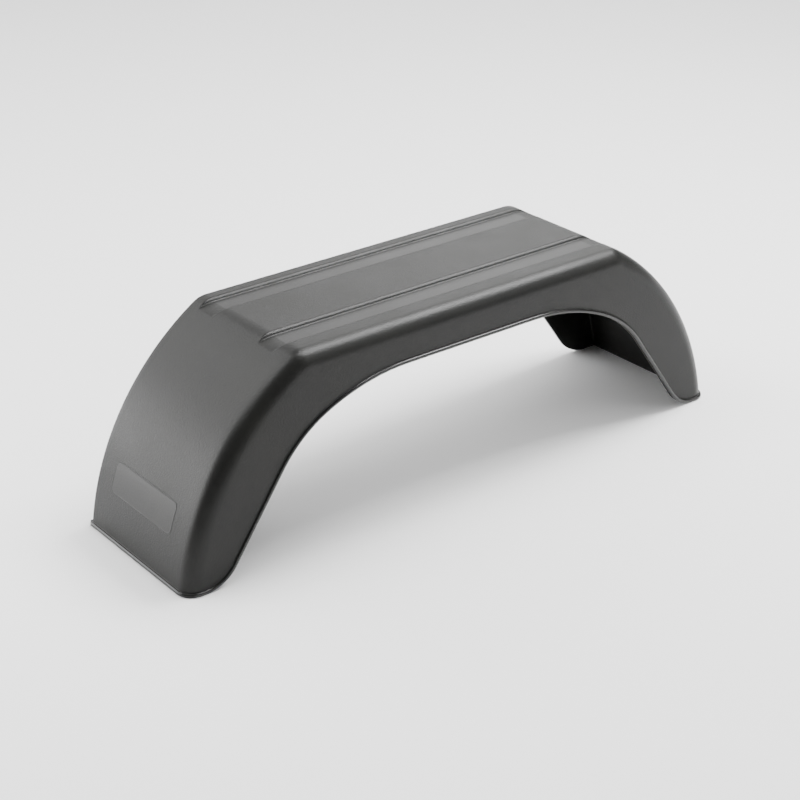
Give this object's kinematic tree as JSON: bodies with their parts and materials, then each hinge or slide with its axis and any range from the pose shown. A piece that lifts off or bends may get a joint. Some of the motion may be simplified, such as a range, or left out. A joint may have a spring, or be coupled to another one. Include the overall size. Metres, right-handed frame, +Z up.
{
  "type": "trailer mudguard",
  "caption": "Moulded plastic trailer mudguard for a single wheel: flat grooved top, curved end panels, side skirts with a wheel arch and a beaded outer edge.",
  "frame": {"origin": "on the ground under the middle of the guard, centre of the bounding box's bottom", "axes": "+X along the wheel's travel, -Y towards the outer side with the beaded skirt, +Y towards the trailer, +Z up"},
  "size_m": [0.75, 0.202, 0.23],
  "materials": {
    "shell": "satin black moulded plastic with a fine even texture"
  },
  "bodies": {
    "root": {"mudguard_shell": "shell"}
  },
  "joints": []
}
